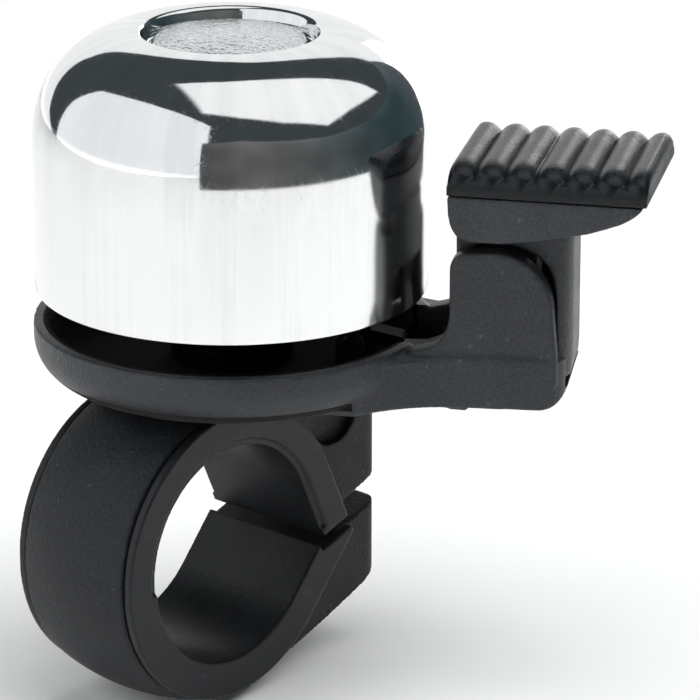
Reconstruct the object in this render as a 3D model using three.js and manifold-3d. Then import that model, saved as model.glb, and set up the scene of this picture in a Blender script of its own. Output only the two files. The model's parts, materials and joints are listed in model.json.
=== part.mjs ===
// Thumb-lever bicycle bell. Millimetres, +Z up.
// Origin: on the handlebar's axis, half way along the clamp. +X runs along the handlebar.
import * as THREE from 'three';
import { mergeVertices } from 'three/addons/utils/BufferGeometryUtils.js';
import Module from 'manifold-3d';

const wasm = await Module();
wasm.setup();

// ---- driving dimensions -------------------------------------------------------------------
const GAP = 0.3;               // air between touching pieces

// bell unit: z is measured from the dome's rim, r from the dome's axis
const BELL_Y = 7.9;            // dome axis, beside the handlebar's axis
const RIM_Z = 24.9;            // dome rim above the handlebar's axis
const ARM_TURN = 33.1;         // degrees the lever arm is turned from the handlebar
const DOME_R = 19.62;
const DOME_WALL = 1.2;
const SHOULDER_Z = 15.3;       // where the straight wall turns into the shoulder
const CROWN_Z = 26.1;
const CROWN_R = 9.3;           // highest ring of the dome, outside the recess
const RECESS_R = 8.7;
const RECESS_Z = 24.4;
const WELL_R = 4.7;
const WELL_Z = 22.2;

const BASE_Z = -9.1;           // underside of the pan and arm
const FLOOR_Z = -7.7;
const LIP_Z = -3.4;
const LIP_R = 19.85;
const PAN_CORNER = 4.2;
const ARM_TOP = -3.9;
const ARM_HALF = 8.0;
const CHANNEL_HALF = 5.8;
const CHEEK_HALF = 7.9;
const ARM_END = 34.7;

const PIVOT = { r: 28.0, z: 1.6 };          // lever pin
const PIN_R = 0.9;
const HAMMER_PIVOT = { r: 12.5, z: -4.6 };  // hammer pin
const HAMMER_PIN_R = 0.75;
const STEM_SWEEP = 10.53;      // lever pin to the lowest outer edge of the stem
const LEVER_HALF = 5.4;
const PAD_HALF = 9.1;
const PAD_SEAM = 12.7;         // underside of the ribbed top
const RIDGES = 7;
const FIRST_RIDGE = 24.15;
const RIDGE_PITCH = 2.95;
const RIDGE_Z = 15.75;
const PAD_TURN = -3.5;         // degrees, the pad is turned a little for the thumb
const PAD_MIDDLE = 32.5;

// clamp: y and z are measured from the handlebar's axis
const BAND_HALF = 6.65;
const BAND_EDGE_R = 15.2;
const BAND_CROWN_R = 16.1;
const BAND_BORE = 14.3;
const LINER_OUT = 14.0;
const LINER_FLANGE = 15.0;
const LINER_RIM = 11.9;
const LINER_BORE = 11.2;
const LINER_HALF = 7.75;
const TOP_Z = RIM_Z + BASE_Z - GAP;
const TEAR_TURN = -8.3;        // degrees, direction of the teardrop's point
const TEAR_HALF = 33.0;        // degrees between the point and each tangent
const SPLIT = { y: 14.9, z: -2.05, tilt: 19, gap: 1.3, band: 2.6 };
const LUG_HALF = 5.6;
const LUG_Y = 23.8;
const SCREW_Y = 20.1;
const NUT_R = 3.1;

// ---- helpers ------------------------------------------------------------------------------
const rad = THREE.MathUtils.degToRad;

function solid(geometry) {
  const bare = geometry.index ? geometry.toNonIndexed() : geometry.clone();
  bare.deleteAttribute('normal');
  bare.deleteAttribute('uv');
  const merged = mergeVertices(bare, 1e-4);
  return new wasm.Manifold(new wasm.Mesh({
    numProp: 3,
    vertProperties: new Float32Array(merged.attributes.position.array),
    triVerts: new Uint32Array(merged.index.array),
  }));
}

function mesh(name, body, look) {
  const out = body.getMesh();
  const geometry = new THREE.BufferGeometry();
  geometry.setAttribute('position', new THREE.BufferAttribute(new Float32Array(out.vertProperties), 3));
  geometry.setIndex(new THREE.BufferAttribute(new Uint32Array(out.triVerts), 1));
  geometry.computeVertexNormals();
  const item = new THREE.Mesh(geometry, new THREE.MeshStandardMaterial(look));
  item.name = name;
  return item;
}

function outline(points) {
  return new THREE.Shape(points.map(([x, y]) => new THREE.Vector2(x, y)));
}

// a turned piece about Z; the profile's last point joins its first
function turned(points, segments = 48) {
  const loop = [...points, points[0]].map(([r, z]) => new THREE.Vector2(r, z));
  const geometry = new THREE.LatheGeometry(loop, segments);
  geometry.rotateX(Math.PI / 2);
  return fix(solid(geometry));
}

// a solid turned piece: the profile runs from the axis back to the axis, bottom to top
function spindle(points, segments = 32) {
  const profile = points.map(([r, z]) => new THREE.Vector2(r, z));
  const geometry = new THREE.LatheGeometry(profile, segments);
  geometry.rotateX(Math.PI / 2);
  return fix(solid(geometry));
}

// turn the faces outward if the profile ran the other way round
function fix(body) {
  if (body.volume() > 0) return body;
  const m = body.getMesh();
  const flipped = new Uint32Array(m.triVerts);
  for (let i = 0; i < flipped.length; i += 3) {
    [flipped[i + 1], flipped[i + 2]] = [flipped[i + 2], flipped[i + 1]];
  }
  return new wasm.Manifold(new wasm.Mesh({
    numProp: 3, vertProperties: m.vertProperties, triVerts: flipped,
  }));
}

const disc = (r, z0, z1, segments = 32) => spindle([[0, z0], [r, z0], [r, z1], [0, z1]], segments);
const hex = (r, z0, z1) => disc(r, z0, z1, 6).rotate([0, 0, 30]);
const ring = (r0, r1, z0, z1, segments = 32) => (
  turned([[r0, z0], [r1, z0], [r1, z1], [r0, z1]], segments));

function box(x0, x1, y0, y1, z0, z1) {
  const geometry = new THREE.BoxGeometry(x1 - x0, y1 - y0, z1 - z0);
  geometry.translate((x0 + x1) / 2, (y0 + y1) / 2, (z0 + z1) / 2);
  return solid(geometry);
}

// an (r, z) outline, given its thickness along Y
function across(shape, y0, y1, curveSegments = 12) {
  const geometry = new THREE.ExtrudeGeometry(shape, { depth: y1 - y0, bevelEnabled: false, curveSegments });
  geometry.rotateX(Math.PI / 2);
  geometry.translate(0, y1, 0);
  return solid(geometry);
}

// a (y, z) outline, given its thickness along X
function along(shape, x0, x1, curveSegments = 40) {
  const geometry = new THREE.ExtrudeGeometry(shape, { depth: x1 - x0, bevelEnabled: false, curveSegments });
  const axes = new THREE.Matrix4().makeBasis(
    new THREE.Vector3(0, 1, 0), new THREE.Vector3(0, 0, 1), new THREE.Vector3(1, 0, 0));
  geometry.applyMatrix4(axes);
  geometry.translate(x0, 0, 0);
  return solid(geometry);
}

// a pin lying along Y through (r, z)
function crossPin(radius, r, z, y0, y1, segments = 24) {
  const geometry = new THREE.CylinderGeometry(radius, radius, y1 - y0, segments);
  geometry.translate(r, (y0 + y1) / 2, z);
  return solid(geometry);
}

class Coil extends THREE.Curve {
  constructor(radius, pitch, turns) {
    super();
    Object.assign(this, { radius, pitch, turns });
  }

  getPoint(t, target = new THREE.Vector3()) {
    const a = 2 * Math.PI * this.turns * t;
    return target.set(this.radius * Math.cos(a), this.pitch * this.turns * t, this.radius * Math.sin(a));
  }
}

// a wound spring whose axis lies along Y
function coilSpring(radius, wire, pitch, turns) {
  const section = new THREE.Shape().absarc(0, 0, wire / 2, 0, 2 * Math.PI, false);
  const geometry = new THREE.ExtrudeGeometry(section, {
    steps: Math.round(turns * 16), extrudePath: new Coil(radius, pitch, turns), curveSegments: 3,
  });
  return fix(solid(geometry));
}

// ---- dome ---------------------------------------------------------------------------------
// straight wall, elliptical shoulder, then the recess and its central well; inset moves inward
function domeSide(inset, steps) {
  const wallR = DOME_R - inset;
  const top = CROWN_Z - inset;
  const points = [[wallR, 0], [wallR, SHOULDER_Z]];
  for (let i = 1; i <= steps; i += 1) {
    const a = (Math.PI / 2) * (i / steps);
    points.push([
      CROWN_R + (wallR - CROWN_R) * Math.cos(a) ** 0.95,
      SHOULDER_Z + (top - SHOULDER_Z) * Math.sin(a) ** 0.95,
    ]);
  }
  return points;
}

function bellDome() {
  const outer = [...domeSide(0, 10), [RECESS_R + 0.15, CROWN_Z - 0.2], [RECESS_R, CROWN_Z - 0.6],
    [RECESS_R - 0.3, RECESS_Z],
    [WELL_R, RECESS_Z], [WELL_R - 0.2, WELL_Z], [2.3, WELL_Z]];
  const inner = [...domeSide(DOME_WALL, 10).slice(0, -1), [RECESS_R + 1.1, CROWN_Z - DOME_WALL - 0.3],
    [RECESS_R + 0.6, RECESS_Z - DOME_WALL], [WELL_R + 1, RECESS_Z - DOME_WALL],
    [WELL_R + 0.9, WELL_Z - DOME_WALL], [2.3, WELL_Z - DOME_WALL]];
  return turned([...outer, ...inner.reverse()], 56);
}

function domeCap() {
  return spindle([[0, RECESS_Z + GAP], [7.6, RECESS_Z + GAP], [7.6, 25.15], [5.5, 25.45], [0, 25.6]], 40);
}

// ---- parts on the dome's axis ---------------------------------------------------------------
const POST_TOP = 19.4;
const FLANGE_Z = -5.9;

function centerPost() {
  return turned([[1.9, BASE_Z], [4.0, BASE_Z], [4.0, FLANGE_Z], [6.4, FLANGE_Z], [6.4, FLANGE_Z + 1.3],
    [3.3, FLANGE_Z + 1.9], [3.3, POST_TOP], [1.9, POST_TOP]]);
}

function domeScrew() {
  return spindle([[0, 9], [1.55, 9], [1.55, 23.3], [3.4, 23.3], [3.4, 24.0], [2.6, 24.4], [0, 24.4]]);
}

function postScrew() {
  return spindle([[0, -11.45], [3.0, -11.45], [3.0, -10.8], [1.5, -10.8], [1.5, 0], [0, 0]]);
}

// ---- base: pan, arm and lever tower ---------------------------------------------------------
function armPlan() {
  const shape = new THREE.Shape();
  shape.moveTo(8, -12);
  shape.lineTo(14.2, -12.6);
  shape.quadraticCurveTo(18.4, -8.9, 23, -8.5);
  shape.lineTo(32.2, -ARM_HALF);
  shape.quadraticCurveTo(34.1, -ARM_HALF + 0.1, ARM_END - 0.25, -5);
  shape.quadraticCurveTo(ARM_END, -3, ARM_END, 0);
  shape.quadraticCurveTo(ARM_END, 3, ARM_END - 0.25, 5);
  shape.quadraticCurveTo(34.1, ARM_HALF - 0.1, 32.2, ARM_HALF);
  shape.lineTo(23, 8.5);
  shape.quadraticCurveTo(18.4, 8.9, 14.2, 12.6);
  shape.lineTo(8, 12);
  return shape;
}

function armSide() {
  const shape = new THREE.Shape();
  shape.moveTo(8, BASE_Z);
  shape.lineTo(31.9, BASE_Z);
  shape.quadraticCurveTo(34.3, -8.9, ARM_END, -6.2);
  shape.lineTo(ARM_END, ARM_TOP);
  shape.lineTo(8, ARM_TOP);
  return shape;
}

function cheekSide() {
  const shape = new THREE.Shape();
  shape.moveTo(17, -6);
  shape.lineTo(18.9, -3.7);
  shape.lineTo(20.6, -3.3);
  shape.quadraticCurveTo(22.9, -2.6, 22.9, 0.8);
  shape.lineTo(22.9, 5.0);
  shape.quadraticCurveTo(23.0, 6.5, 24.6, 6.75);
  shape.lineTo(27.2, 6.9);
  shape.absarc(27.2, 1.05, 5.85, Math.PI / 2, 0.1, true);
  shape.lineTo(33.55, -4.4);
  shape.lineTo(33.55, -6.5);
  shape.lineTo(17, -6.5);
  return shape;
}

function baseHousing() {
  const corner = [];
  for (let i = 0; i <= 5; i += 1) {
    const a = (Math.PI / 2) * (i / 5);
    corner.push([LIP_R - PAN_CORNER * (1 - Math.sin(a)), BASE_Z + PAN_CORNER * (1 - Math.cos(a))]);
  }
  const pan = spindle([[0, BASE_Z], ...corner, [LIP_R, LIP_Z], [0, LIP_Z]], 56);
  const plan = new THREE.ExtrudeGeometry(armPlan(), {
    depth: 6, bevelEnabled: true, bevelThickness: 0.9, bevelSize: 0.9, bevelOffset: -0.9,
    bevelSegments: 2, curveSegments: 6,
  });
  plan.translate(0, 0, BASE_Z + 0.9);
  const arm = solid(plan).intersect(across(armSide(), -16, 16));
  const cheeks = across(cheekSide(), -CHEEK_HALF, CHEEK_HALF);
  const bump = across(outline([[20.6, -8.9], [25.2, -8.9], [24.6, -9.75], [20.6, -9.4]]), -7.4, 7.4);

  const panInside = spindle([[0, FLOOR_Z], [15.4, FLOOR_Z], [17.6, -6.9], [18.4, -5.2], [18.4, 2],
    [0, 2]], 56);
  const channel = box(12, 33.1, -CHANNEL_HALF, CHANNEL_HALF, -7.9, 20);
  const sweep = crossPin(STEM_SWEEP + GAP, PIVOT.r, PIVOT.z, -CHANNEL_HALF, CHANNEL_HALF, 72)
    .intersect(box(32, 40, -20, 20, -8, 20));
  const above = box(33, 40, -CHANNEL_HALF, CHANNEL_HALF, -6.6, 20);
  const bore = disc(4.3, -12, 0);
  const pinHoles = crossPin(PIN_R + GAP, PIVOT.r, PIVOT.z, -6.8, 6.8);

  const ears = across(outline([[10.9, -8.2], [14.1, -8.2], [13.9, -4.0], [13.2, -3.3], [11.8, -3.3],
    [11.1, -4.0]]), -4.5, 4.5)
    .subtract(box(8, 20, -3.3, 3.3, -7.7, 0))
    .subtract(crossPin(HAMMER_PIN_R + 0.25, HAMMER_PIVOT.r, HAMMER_PIVOT.z, -5, 5));

  return pan.add(arm).add(cheeks).add(bump)
    .subtract(panInside).subtract(channel).subtract(sweep).subtract(above)
    .subtract(bore).subtract(pinHoles)
    .add(ears);
}

// ---- lever ----------------------------------------------------------------------------------
function turnedForThumb(body) {
  return body.translate([-PAD_MIDDLE, 0, 0]).rotate([0, 0, PAD_TURN]).translate([PAD_MIDDLE, 0, 0]);
}

function padUnder() {
  const top = PAD_SEAM - GAP;
  return outline([[23.15, top], [23.25, 11.3], [23.45, 9.8], [24.0, 8.6], [25.5, 8.1], [28.7, 8.15],
    [31.4, 8.55], [36.7, 9.6], [38.8, 10.3], [41.1, 11.3], [42.0, 12.0], [42.2, top]]);
}

function hood() {
  return outline([[23.2, 9.2], [23.3, 2.6], [24.1, 2.6], [24.3, 5.8], [25.3, 6.9], [28.5, 7.0], [29.9, 6.6],
    [31.4, 5.8], [32.3, 4.9], [32.8, 3.8], [33.1, 1.5], [33.2, -6.6], [34.5, -6.6], [34.65, -5.0],
    [34.6, 7.0], [34.8, 8.2], [35.6, 9.6]]);
}

// the stem's outer corners, seen from above
function hoodPlan() {
  const shape = new THREE.Shape();
  shape.moveTo(20, -LEVER_HALF);
  shape.lineTo(33.3, -LEVER_HALF);
  shape.quadraticCurveTo(34.4, -LEVER_HALF + 0.1, 34.6, -3.6);
  shape.lineTo(36, -3.6);
  shape.lineTo(36, 3.6);
  shape.lineTo(34.6, 3.6);
  shape.quadraticCurveTo(34.4, LEVER_HALF - 0.1, 33.3, LEVER_HALF);
  shape.lineTo(20, LEVER_HALF);
  return shape;
}

function leverCore() {
  return outline([[24.8, 7.6], [25.2, 2.4], [25.6, 0.3], [26.8, -1.0], [28.4, -1.2], [29.9, -0.4],
    [30.7, 1.4], [30.8, 6.9], [29.5, 7.6]]);
}

function leverTail() {
  return outline([[27.4, -1.0], [26.4, 1.2], [25.0, 0.2], [21.9, -4.6], [19.6, -5.5], [17.2, -5.6],
    [16.7, -5.9], [16.7, -6.5], [17.2, -6.8], [20.6, -6.7], [23.2, -5.4]]);
}

function leverBody() {
  const plan = new THREE.ExtrudeGeometry(hoodPlan(), { depth: 30, bevelEnabled: false, curveSegments: 4 });
  plan.translate(0, 0, -15);
  return turnedForThumb(across(padUnder(), -PAD_HALF, PAD_HALF))
    .add(across(hood(), -LEVER_HALF, LEVER_HALF).intersect(solid(plan)))
    .add(across(leverCore(), -1.4, 4.6))
    .add(across(leverTail(), -1.4, 1.8))
    .subtract(crossPin(PIN_R + GAP, PIVOT.r, PIVOT.z, -8, 8));
}

// the ridges run across the pad and die away over its rounded long edges
function thumbGrip() {
  const half = RIDGE_PITCH / 2;
  const points = [[23.15, 13.6], [23.15, 14.6]];
  for (let i = 0; i < RIDGES; i += 1) {
    const crest = FIRST_RIDGE + i * RIDGE_PITCH;
    if (i > 0) points.push([crest - half, RIDGE_Z - 0.8]);
    points.push([crest - 0.8, RIDGE_Z - 0.3], [crest - 0.25, RIDGE_Z], [crest + 0.25, RIDGE_Z],
      [crest + 0.8, RIDGE_Z - 0.3]);
  }
  points.push([42.7, 14.8], [42.7, 13.6]);
  const slab = outline([[23.15, PAD_SEAM], [23.15, 14.3], [42.7, 14.3], [42.7, PAD_SEAM]]);
  const section = outline([[-PAD_HALF, PAD_SEAM - 1], [PAD_HALF, PAD_SEAM - 1], [PAD_HALF, 14.3],
    [PAD_HALF - 0.5, 14.75], [PAD_HALF - 2.2, 15.5], [PAD_HALF - 4.2, 16], [-PAD_HALF + 4.2, 16],
    [-PAD_HALF + 2.2, 15.5], [-PAD_HALF + 0.5, 14.75], [-PAD_HALF, 14.3]]);
  return turnedForThumb(across(outline(points), -PAD_HALF, PAD_HALF).intersect(along(section, 20, 46))
    .add(across(slab, -PAD_HALF, PAD_HALF)));
}

// ---- hammer ---------------------------------------------------------------------------------
function hammerArm() {
  const stalk = outline([[11.4, -5.6], [13.6, -5.2], [17.3, -5.2], [17.6, -4.9], [17.3, -4.5], [14.2, -3.9],
    [13.9, -2.2], [15.2, 2.0], [15.7, 5.0], [14.7, 5.2], [14.1, 2.3], [12.4, -2.6], [11.2, -3.6]]);
  return across(stalk, -1.2, 1.2)
    .add(crossPin(0.6, 15.2, 7.2, -0.6, 0.6, 12).intersect(box(14, 16, -2, 2, 6, 8)))
    .add(across(outline([[14.7, 4.9], [15.7, 4.9], [15.8, 7.4], [14.6, 7.4]]), -0.6, 0.6))
    .subtract(crossPin(HAMMER_PIN_R + 0.25, HAMMER_PIVOT.r, HAMMER_PIVOT.z, -3, 3));
}

function hammerHead() {
  const r = 15.3;
  const head = spindle([[0, 5.6], [1.5, 5.6], [2.2, 6.3], [2.2, 9.3], [1.5, 10.0], [0, 10.0]], 28)
    .translate([r, 0, 0]);
  return head.subtract(box(14.2, 16.2, -0.9, 0.9, 4, 7.8));
}

// ---- clamp ----------------------------------------------------------------------------------
// a circle whose side is drawn out into a point, for the handlebar bore and its liner
function teardrop(radius) {
  const turn = rad(TEAR_TURN);
  const half = rad(TEAR_HALF);
  const reach = radius / Math.cos(half);
  const shape = new THREE.Shape();
  shape.moveTo(reach * Math.cos(turn), reach * Math.sin(turn));
  shape.lineTo(radius * Math.cos(turn + half), radius * Math.sin(turn + half));
  shape.absarc(0, 0, radius, turn + half, turn - half + 2 * Math.PI, false);
  return shape;
}

// the split starts from the same upper face in the band and the liner, and is wider in the band
function splitCut(width) {
  const top = SPLIT.gap / 2;
  const slab = box(-12, 12, -2.4, 20, top - width, top);
  return slab.rotate([SPLIT.tilt, 0, 0]).translate([0, SPLIT.y, SPLIT.z]);
}

function lugSide() {
  const shape = new THREE.Shape();
  shape.moveTo(0, TOP_Z);
  shape.lineTo(LUG_Y - 1.2, TOP_Z);
  shape.lineTo(LUG_Y, TOP_Z - 1.2);
  shape.lineTo(LUG_Y, -7.9);
  shape.quadraticCurveTo(LUG_Y, -9.3, LUG_Y - 2.4, -10.2);
  shape.quadraticCurveTo(12.5, -13.9, 4.6, -15.6);
  shape.lineTo(0, -14);
  return shape;
}

function lugPlan() {
  const shape = new THREE.Shape();
  shape.moveTo(-LUG_HALF, 0);
  shape.lineTo(LUG_HALF, 0);
  shape.lineTo(LUG_HALF, LUG_Y - 1.8);
  shape.quadraticCurveTo(LUG_HALF, LUG_Y, LUG_HALF - 1.8, LUG_Y);
  shape.lineTo(-LUG_HALF + 1.8, LUG_Y);
  shape.quadraticCurveTo(-LUG_HALF, LUG_Y, -LUG_HALF, LUG_Y - 1.8);
  return shape;
}

function clampBand() {
  const crown = [];
  for (let i = 0; i <= 8; i += 1) {
    const x = BAND_HALF * (i / 4 - 1);
    crown.push([BAND_CROWN_R - (BAND_CROWN_R - BAND_EDGE_R) * (x / BAND_HALF) ** 2, x]);
  }
  const band = spindle([[0, -BAND_HALF], ...crown, [0, BAND_HALF]], 56).rotate([0, 90, 0]);
  const plan = new THREE.ExtrudeGeometry(lugPlan(), { depth: 60, bevelEnabled: false, curveSegments: 4 });
  plan.translate(0, 0, -30);
  const lugs = along(lugSide(), -LUG_HALF, LUG_HALF, 5).intersect(solid(plan));
  const mark = disc(3.5, 0, 2, 28).rotate([0, 90, 0]).translate([LUG_HALF - 1, 16.9, 10.1]);
  const nutPocket = hex(NUT_R + 0.35, 6.2, 30).translate([0, SCREW_Y, 0]);
  const counterbore = disc(3.1, -30, -5.2).translate([0, SCREW_Y, 0]);
  const screwHole = disc(1.8, -10, 10).translate([0, SCREW_Y, 0]);
  const postHole = disc(1.9, 5, 20).translate([0, BELL_Y, 0]);
  const headPocket = disc(3.3, 5, 14.4).translate([0, BELL_Y, 0]);
  const sides = box(LUG_HALF, 20, 12.2, 40, -20, 40).add(box(-20, -LUG_HALF, 12.2, 40, -20, 40));
  return band.subtract(sides).add(lugs)
    .subtract(box(-20, 20, -30, 40, TOP_Z, 40))
    .subtract(along(teardrop(BAND_BORE), -12, 12))
    .subtract(splitCut(SPLIT.band))
    .subtract(mark).subtract(nutPocket).subtract(counterbore).subtract(screwHole)
    .subtract(postHole).subtract(headPocket);
}

function clampLiner() {
  const flange = along(teardrop(LINER_FLANGE), BAND_HALF + GAP, LINER_HALF)
    .add(along(teardrop(LINER_FLANGE), -LINER_HALF, -BAND_HALF - GAP));
  const rimCut = along(teardrop(LINER_RIM), LINER_HALF - 0.35, 12)
    .add(along(teardrop(LINER_RIM), -12, -LINER_HALF + 0.35))
    .intersect(box(-20, 20, -20, 20, -1, 20));
  return along(teardrop(LINER_OUT), -LINER_HALF, LINER_HALF).add(flange)
    .subtract(along(teardrop(LINER_BORE), -12, 12))
    .subtract(rimCut)
    .subtract(splitCut(SPLIT.gap));
}

function clampScrew() {
  return spindle([[0, -8.8], [2.3, -8.8], [2.7, -8.4], [2.7, -6.3], [1.5, -6.3], [1.5, 11], [0, 11]])
    .subtract(hex(1.35, -12, -7.3));
}

function clampNut() {
  return hex(NUT_R, 6.5, 9.0).subtract(disc(1.8, 0, 20));
}

// ---- looks ----------------------------------------------------------------------------------
const polished = () => ({ color: 0xd9dadb, roughness: 0.12, metalness: 1 });
const steel = () => ({ color: 0xb4b6b8, roughness: 0.35, metalness: 1 });
const dark = () => ({ color: 0x0d0d0e, roughness: 0.6, metalness: 0 });
const blackPlastic = () => ({ color: 0x2b2c2e, roughness: 0.62, metalness: 0 });
const satinBlack = () => ({ color: 0x1d1f22, roughness: 0.34, metalness: 0 });
const softBlack = () => ({ color: 0x232425, roughness: 0.5, metalness: 0 });

// ---- assembly -------------------------------------------------------------------------------
const clamp = new THREE.Group();
clamp.add(
  mesh('clamp_band', clampBand(), blackPlastic()),
  mesh('clamp_liner', clampLiner(), softBlack()),
);
const fasteners = new THREE.Group();
fasteners.position.set(0, SCREW_Y, 0);
fasteners.add(
  mesh('clamp_screw', clampScrew(), steel()),
  mesh('clamp_washer', ring(1.8, 2.8, -6.0, -5.5), steel()),
  mesh('clamp_nut', clampNut(), steel()),
);
clamp.add(fasteners);

const dome = new THREE.Group();
dome.position.set(0, BELL_Y, RIM_Z);
dome.add(
  mesh('bell_dome', bellDome(), polished()),
  mesh('dome_cap', domeCap(), polished()),
  mesh('dome_screw', domeScrew(), steel()),
  mesh('dome_washer', ring(1.9, 4.1, WELL_Z + GAP, WELL_Z + 0.8), steel()),
  mesh('dome_seat', ring(1.9, 4.4, POST_TOP + GAP, WELL_Z - DOME_WALL - GAP), softBlack()),
  mesh('center_post', centerPost(), dark()),
  mesh('swivel_washer', ring(4.3, 6.2, FLOOR_Z + GAP, FLANGE_Z - GAP), dark()),
  mesh('post_screw', postScrew(), steel()),
);

const turning = new THREE.Group();
turning.position.set(0, BELL_Y, RIM_Z);
turning.rotation.z = rad(ARM_TURN);
turning.add(
  mesh('base_housing', baseHousing(), blackPlastic()),
  mesh('lever_body', leverBody(), blackPlastic()),
  mesh('thumb_grip', thumbGrip(), satinBlack()),
  mesh('lever_pin', crossPin(PIN_R, PIVOT.r, PIVOT.z, -6.5, 6.5), steel()),
  mesh('hammer_arm', hammerArm(), dark()),
  mesh('hammer_head', hammerHead(), steel()),
  mesh('hammer_pin', crossPin(HAMMER_PIN_R, HAMMER_PIVOT.r, HAMMER_PIVOT.z, -4.4, 4.4), dark()),
);

const leverSpring = mesh('lever_spring', coilSpring(1.75, 0.6, 0.85, 3.2), steel());
leverSpring.position.set(PIVOT.r, -4.9, PIVOT.z);
const hammerSpring = mesh('hammer_spring', coilSpring(1.35, 0.4, 0.55, 2.2), steel());
hammerSpring.position.set(HAMMER_PIVOT.r, 1.65, HAMMER_PIVOT.z);
turning.add(leverSpring, hammerSpring);

const bell = new THREE.Group();
bell.add(clamp, dome, turning);

export default bell;
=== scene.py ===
import json
import math

import bmesh
import bpy
from mathutils import Matrix, Vector, noise


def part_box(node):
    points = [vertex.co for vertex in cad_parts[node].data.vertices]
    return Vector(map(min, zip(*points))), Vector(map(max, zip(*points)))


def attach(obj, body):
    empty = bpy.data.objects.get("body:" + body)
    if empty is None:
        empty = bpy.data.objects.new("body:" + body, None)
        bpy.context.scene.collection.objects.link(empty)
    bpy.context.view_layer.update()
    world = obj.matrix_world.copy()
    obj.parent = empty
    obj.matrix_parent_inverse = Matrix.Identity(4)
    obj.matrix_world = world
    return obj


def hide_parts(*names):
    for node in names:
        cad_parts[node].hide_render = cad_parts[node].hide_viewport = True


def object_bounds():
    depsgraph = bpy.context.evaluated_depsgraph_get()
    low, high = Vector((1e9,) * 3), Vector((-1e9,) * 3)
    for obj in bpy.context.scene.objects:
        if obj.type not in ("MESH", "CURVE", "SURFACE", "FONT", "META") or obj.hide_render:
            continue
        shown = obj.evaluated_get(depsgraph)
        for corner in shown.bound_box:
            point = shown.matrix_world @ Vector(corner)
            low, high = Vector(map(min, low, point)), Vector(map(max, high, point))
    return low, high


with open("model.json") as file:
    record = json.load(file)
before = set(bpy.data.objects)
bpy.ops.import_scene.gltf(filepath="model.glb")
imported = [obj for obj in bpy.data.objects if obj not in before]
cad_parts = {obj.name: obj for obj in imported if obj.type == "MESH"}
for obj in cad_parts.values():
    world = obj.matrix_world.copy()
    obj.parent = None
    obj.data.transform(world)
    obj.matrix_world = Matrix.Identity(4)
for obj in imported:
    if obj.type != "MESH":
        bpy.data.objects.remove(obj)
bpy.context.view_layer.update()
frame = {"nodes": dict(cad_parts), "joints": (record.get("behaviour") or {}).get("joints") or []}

MM = 0.001
dome_low, dome_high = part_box("bell_dome")
AXIS = Vector(((dome_low.x + dome_high.x) / 2, (dome_low.y + dome_high.y) / 2, dome_low.z))
JOINTS = {j["name"]: j for j in frame["joints"]}
TURN = math.atan2(-JOINTS["lever_press"]["axis"][0], JOINTS["lever_press"]["axis"][1])
PLACE_DOME = Matrix.Translation(AXIS) @ Matrix.Scale(MM, 4)
PLACE_ARM = Matrix.Translation(AXIS) @ Matrix.Rotation(TURN, 4, "Z") @ Matrix.Scale(MM, 4)
PLACE_CLAMP = Matrix.Scale(MM, 4)

# driving dimensions of the CAD part, in millimetres
GAP = 0.3
DOME_R, DOME_WALL, SHOULDER_Z = 19.62, 1.2, 15.3
CROWN_Z, CROWN_R, RECESS_R, RECESS_Z = 26.1, 9.3, 8.7, 24.4
WELL_R, WELL_Z, SCREW_HOLE_R = 4.7, 22.2, 2.3
CAP_R, CAP_EDGE_Z, CAP_TOP_Z = 7.6, 25.17, 25.6
BASE_Z, FLOOR_Z, LIP_Z, LIP_R, PAN_CORNER = -9.1, -7.7, -3.4, 19.85, 4.2
ARM_TOP, ARM_HALF, CHANNEL_HALF, CHEEK_HALF, ARM_END = -3.9, 8.0, 5.8, 7.9, 34.7
PIVOT, PIN_R, STEM_SWEEP, LEVER_HALF = (28.0, 1.6), 0.9, 10.53, 5.4
HAMMER_PIVOT, HAMMER_PIN_R = (12.5, -4.6), 0.75
PAD_HALF, PAD_SEAM, PAD_START, PAD_END, PAD_MIDDLE = 9.1, 12.7, 23.15, 42.7, 32.5
RIDGES, FIRST_RIDGE, RIDGE_PITCH, RIDGE_Z = 7, 24.15, 2.95, 15.75
PAD_TURN = math.radians(-3.5)
BAND_HALF, BAND_EDGE_R, BAND_CROWN_R, BAND_BORE = 6.65, 15.2, 16.1, 14.3
LINER_OUT, LINER_FLANGE, LINER_RIM, LINER_BORE, LINER_HALF = 14.0, 15.0, 11.9, 11.2, 7.75
TOP_Z, BELL_Y = 15.5, 7.9
TEAR_TURN, TEAR_HALF = math.radians(-8.3), math.radians(33.0)
SPLIT = {"y": 14.9, "z": -2.05, "tilt": math.radians(19), "gap": 1.3, "band": 2.6}
LUG_HALF, LUG_Y, SCREW_Y, NUT_R = 5.6, 23.8, 20.1, 3.1
MARK_R, MARK_Y, MARK_Z, MARK_DEPTH = 3.5, 16.9, 10.1, 1.0

# finer detail that only the visual model has, in millimetres: the seam between two mouldings, and the
# relief of the thumb grip
SEAM = 0.12
VALLEY_Z, BEVEL_START, BEVEL_DROP, NOSE_START, NOSE_LENGTH = 14.8, 5.4, 0.85, 6.3, 2.6
RIM_WIDTH, RIM_DROP = 0.6, 0.4


# ---- mesh code ------------------------------------------------------------------------------
def as_object(name, verts, faces):
    mesh = bpy.data.meshes.new(name)
    mesh.from_pydata([tuple(v) for v in verts], [], faces)
    work = bmesh.new()
    work.from_mesh(mesh)
    bmesh.ops.recalc_face_normals(work, faces=work.faces)
    work.to_mesh(mesh)
    work.free()
    obj = bpy.data.objects.new(name, mesh)
    bpy.context.scene.collection.objects.link(obj)
    return obj


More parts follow.
